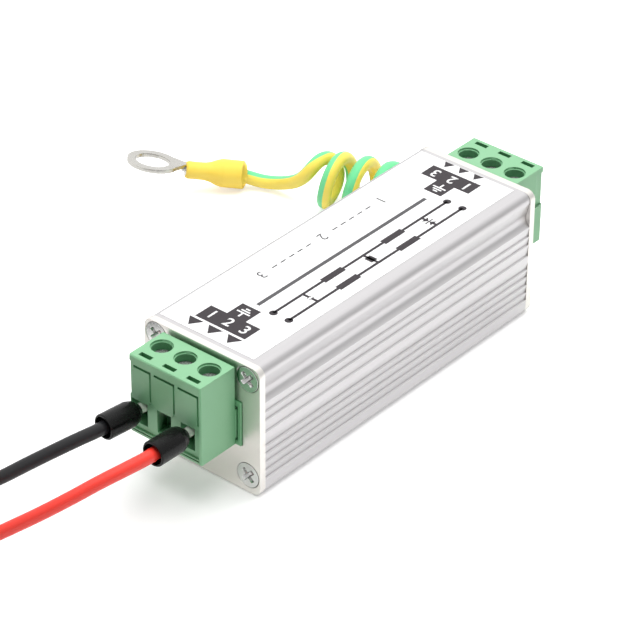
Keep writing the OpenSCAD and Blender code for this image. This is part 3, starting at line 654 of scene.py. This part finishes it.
def terminalBlock(end):
    x0, y0, x1, y1 = blockSet[end]["bar"]
    s0, s1, tip = blockSet[end]["stem"]
    outer, inner = (y0, y1) if end == "output" else (y1, y0)
    bm = bmesh.new()
    drawOutline(bm, [(x0, outer), (x1, outer), (x1, inner), (s1, inner), (s1, tip), (s0, tip), (s0, inner),
        (x0, inner)])
    printed(f"{end}Block", bm, ink)
    bm = bmesh.new()
    turn = 0 if end == "output" else 180
    middle = (s0 + s1) / 2
    for k, x in zip(poles, (x0 + figureSet["fromLeft"], middle, x1 - figureSet["fromRight"])):
        number = k if end == "output" else 4 - k
        drawNumber(bm, number, figureSet["height"], x, (y0 + y1) / 2, turn, figureSet["weight"])
    # earth mark on the stem: a line and three bars that grow shorter
    way, mark = -ends[end], earthMarkSet
    drawBar(bm, middle - mark["line"], inner + way * mark["from"], middle + mark["line"], inner + way * mark["to"])
    for n, half in enumerate(mark["halves"]):
        y = inner + way * (mark["to"] + mark["step"] * n)
        drawBar(bm, middle - half, y, middle + half, y + way * mark["bar"])
    printed(f"{end}Numbers", bm, film, 1)


# three arrow heads between two corners, that show the way from the input to the output
arrowSet = {"output": (-7.4, -33.2, 5.05, -31.1), "input": (-6.1, 32.1, 3.45, 33.8), "gap": 0.55}


def flowMark(end):
    x0, y0, x1, y1 = arrowSet[end]
    bm = bmesh.new()
    width = (x1 - x0) / 3
    for n in range(3):
        left = x0 + width * n + arrowSet["gap"]
        right = left + width - 2 * arrowSet["gap"]
        drawOutline(bm, [(left, y1), ((left + right) / 2, y0), (right, y1)])
    printed(f"{end}FlowMark", bm, ink)


# a generic circuit of three protection stages between two lines
stageSet = {"from": -21.8, "to": 23.5, "rails": (2.95, 6.25), "line": 0.55, "dot": 0.72,
    "fuses": (-6.8, 8.8), "fuseL": 5.2, "fuseW": 1.35, "at": (-14.5, 1.0, 16.5),
    "tube": {"radius": 1.02, "line": 0.34, "gap": 0.34, "plateW": 0.14, "plateL": 0.6},
    "varistor": (0.85, 0.75),
    "diode": {"lead": 0.9, "base": 0.95, "half": 0.85, "tip": 0.1, "barW": 0.12, "barL": 1.0}}
# the stages' numbers with dashes between them, and the long line along the label's middle
stageNumberSet = {"x": -6.0, "height": 2.1, "turn": -90, "dashes": 5, "spans": ((-12.2, -1.4), (3.3, 14.2)),
    "gap": 0.45, "half": 0.14}
middleLineSet = {"corners": (-0.875, -21.7, -0.125, 21.9)}


def stageDiagram():
    a, b = stageSet["rails"]
    half = stageSet["line"] / 2
    start, stop = stageSet["from"], stageSet["to"]
    fuseL, fuseW = stageSet["fuseL"], stageSet["fuseW"]
    bm = bmesh.new()
    for rail in (a, b):
        spans = [start] + [f + s * fuseL / 2 for f in stageSet["fuses"] for s in (-1, 1)] + [stop]
        for y0, y1 in zip(spans[0::2], spans[1::2]):
            drawBar(bm, rail - half, y0, rail + half, y1)
        for f in stageSet["fuses"]:
            drawBar(bm, rail - fuseW / 2, f - fuseL / 2, rail + fuseW / 2, f + fuseL / 2)
        for y in (start, stop):
            drawDisc(bm, rail, y, stageSet["dot"], labelSet["dotSteps"])
    middle = (a + b) / 2
    tubeY, varistorY, diodeY = stageSet["at"]
    tube, diode = stageSet["tube"], stageSet["diode"]

    def leadIn(y, gap):
        # the two short lines from the rails to a symbol
        for x0, x1 in ((a + half, middle - gap), (middle + gap, b - half)):
            drawBar(bm, x0, y - half, x1, y + half)

    drawRing(bm, middle, tubeY, tube["radius"], tube["line"])
    leadIn(tubeY, tube["gap"])
    for x in (middle - tube["gap"], middle + tube["gap"] - tube["plateW"]):
        drawBar(bm, x, tubeY - tube["plateL"], x + tube["plateW"], tubeY + tube["plateL"])
    drawBar(bm, a + half, varistorY - half, b - half, varistorY + half)
    wide, long = stageSet["varistor"]
    drawBar(bm, middle - wide, varistorY - long, middle + wide, varistorY + long)
    leadIn(diodeY, diode["lead"])
    for way in (-1, 1):
        base, tip = middle + way * diode["base"], middle + way * diode["tip"]
        drawOutline(bm, [(base, diodeY - diode["half"]), (base, diodeY + diode["half"]), (tip, diodeY)])
    drawBar(bm, middle - diode["barW"], diodeY - diode["barL"], middle + diode["barW"], diodeY + diode["barL"])
    printed("stageDiagram", bm, ink)


def stageNumbers():
    bm = bmesh.new()
    x = stageNumberSet["x"]
    for k, y in zip(poles, reversed(stageSet["at"])):
        drawNumber(bm, k, stageNumberSet["height"], x, y, stageNumberSet["turn"])
    for y0, y1 in stageNumberSet["spans"]:
        step = (y1 - y0) / stageNumberSet["dashes"]
        for n in range(stageNumberSet["dashes"]):
            low, high = y0 + n * step + stageNumberSet["gap"], y0 + (n + 1) * step - stageNumberSet["gap"]
            drawBar(bm, x - stageNumberSet["half"], low, x + stageNumberSet["half"], high)
    printed("stageNumbers", bm, greyInk)


def middleLine():
    bm = bmesh.new()
    drawBar(bm, *middleLineSet["corners"])
    printed("middleLine", bm, greyInk)


for end in ends:
    terminalBlock(end)
    flowMark(end)
stageDiagram()
stageNumbers()
middleLine()
print("label printed")

# studio

# beside the earth lead, left of the case and behind its output end, the sheet is seen brighter, painted light that
# lightens the lead's shadow there, and mirrored less; elsewhere its glow in mirrored rays is a painted reflection, a
# floor brighter in the metal than it is lit. leftOf and behind say over which X and Y, in m, that grows, seen and
# mirrored the glow outside and inside it
floorSet = {"size": 6, "height": -0.08, "leftOf": (0.005, -0.02), "behind": (-0.035, -0.01), "seen": (0.25, 0.5),
    "mirrored": (0.27, 0.0), "roughness": 0.6}


def makeFloor():
    bpy.ops.mesh.primitive_plane_add(size=floorSet["size"], location=(0, 0, floorSet["height"] * mm))
    floor = bpy.context.object
    floor.name = "studioFloor"
    material, tree, shader = newMaterial("matt white sweep", "#f4f4f4", floorSet["roughness"])
    point = addNode(tree, "ShaderNodeTexCoord").outputs["Object"]
    place = addNode(tree, "ShaderNodeSeparateXYZ", {}, {"Vector": point}).outputs
    leftOf = ranged(tree, place["X"], *floorSet["leftOf"])
    behind = ranged(tree, place["Y"], *floorSet["behind"])
    corner = worked(tree, "MULTIPLY", leftOf, behind)
    path = addNode(tree, "ShaderNodeLightPath").outputs
    # painted light: the camera sees the corner glow brighter, which lightens the earth lead's shadow
    seen = worked(tree, "MULTIPLY", path["Is Camera Ray"], ranged(tree, corner, 0, 1, *floorSet["seen"]))
    # painted reflection: outside the corner the floor glows for mirrored rays only
    mirrored = worked(tree, "MULTIPLY", path["Is Glossy Ray"], ranged(tree, corner, 0, 1, *floorSet["mirrored"]))
    shader.inputs["Emission Color"].default_value = (1, 1, 1, 1)
    tree.links.new(worked(tree, "ADD", seen, mirrored), shader.inputs["Emission Strength"])
    floor.data.materials.append(material)


# the room, dimmer in front of the output end. What metal mirrors of it is brightest above and to the left, and
# falls off to the right and to the horizon, which shows as soft bands in the scoop. The spans are of a direction's
# Y, X and Z, over which each of the three changes
roomSet = {"light": 0.45, "front": 0.36, "left": 1.54, "right": 0.92, "low": 0.68, "frontSpan": (-0.9, 0.1),
    "sideSpan": (0.0, 0.5), "heightSpan": (0.05, 0.5)}


def makeWorld():
    world = bpy.data.worlds.new("light tent")
    bpy.context.scene.world = world
    world.use_nodes = True
    tree = world.node_tree
    way = addNode(tree, "ShaderNodeTexCoord").outputs["Generated"]
    way = addNode(tree, "ShaderNodeSeparateXYZ", {}, {"Vector": way}).outputs
    frontLight = roomSet["light"] * roomSet["front"]
    falling = ranged(tree, way["Y"], *roomSet["frontSpan"], frontLight, roomSet["light"],
        interpolation_type="SMOOTHSTEP")
    across = ranged(tree, way["X"], *roomSet["sideSpan"], roomSet["left"], roomSet["right"])
    upward = ranged(tree, way["Z"], *roomSet["heightSpan"], roomSet["low"], 1.0)
    mirrored = worked(tree, "MULTIPLY", across, upward)
    light = tree.nodes["Background"]
    light.inputs["Color"].default_value = (1, 1, 1, 1)
    tree.links.new(falling, light.inputs["Strength"])
    path = addNode(tree, "ShaderNodeLightPath").outputs
    shown = light.outputs[0]
    for ray, strength in (("Is Glossy Ray", mirrored), ("Is Camera Ray", 1.0)):
        other = addNode(tree, "ShaderNodeBackground", {}, {"Color": (1, 1, 1, 1), "Strength": strength}).outputs[0]
        shown = addNode(tree, "ShaderNodeMixShader", {}, {0: path[ray], 1: shown, 2: other}).outputs[0]
    tree.links.new(shown, tree.nodes["World Output"].inputs["Surface"])


lampSet = {"place": (-20, 60, 700), "size": 0.7, "power": 6.8}


def makeLamp():
    data = bpy.data.lights.new("topSoftbox", "AREA")
    data.size = lampSet["size"]
    data.energy = lampSet["power"]
    light = bpy.data.objects.new("topSoftbox", data)
    light.location = atMm(*lampSet["place"])
    light.rotation_euler = (-light.location).to_track_quat("-Z", "Y").to_euler()
    light.visible_glossy = False   # mirrored light is the world's alone, so that no metal clips
    bpy.context.scene.collection.objects.link(light)


makeFloor()
makeWorld()
makeLamp()
bpy.context.scene.view_settings.view_transform = "Standard"
print("studio lit")

# finishes of the frame's own pieces

finishes = [
    (extrusion, ["upper_shell", "lower_shell"]),
    (boardLaminate, ["circuit_board"]),
    (tubeCeramic, ["gas_tube"]),
    (fuseCoating, ["line_fuse_a", "line_fuse_b"]),
    (diodeEpoxy, ["clamp_diode_a", "clamp_diode_b", "clamp_diode_c"]),
    (tin, ["output_header_pins", "input_header_pins", "output_contacts", "input_contacts"]),
    (tin, [f"{end}_cage_{k}" for end in ends for k in poles]),
    (tinPaintedBright, ["black_ferrule", "red_ferrule", "black_tail_ferrule", "red_tail_ferrule"]),
    (grommetRubber, ["earth_grommet"]),
    (collarBlack, ["black_collar", "red_collar", "black_tail_collar", "red_tail_collar"]),
    (greenVinyl, ["earth_conductor"]),
]
for material, names in finishes:
    for name in names:
        nodes[name].data.materials.clear()
        nodes[name].data.materials.append(material)
print("finishes on")
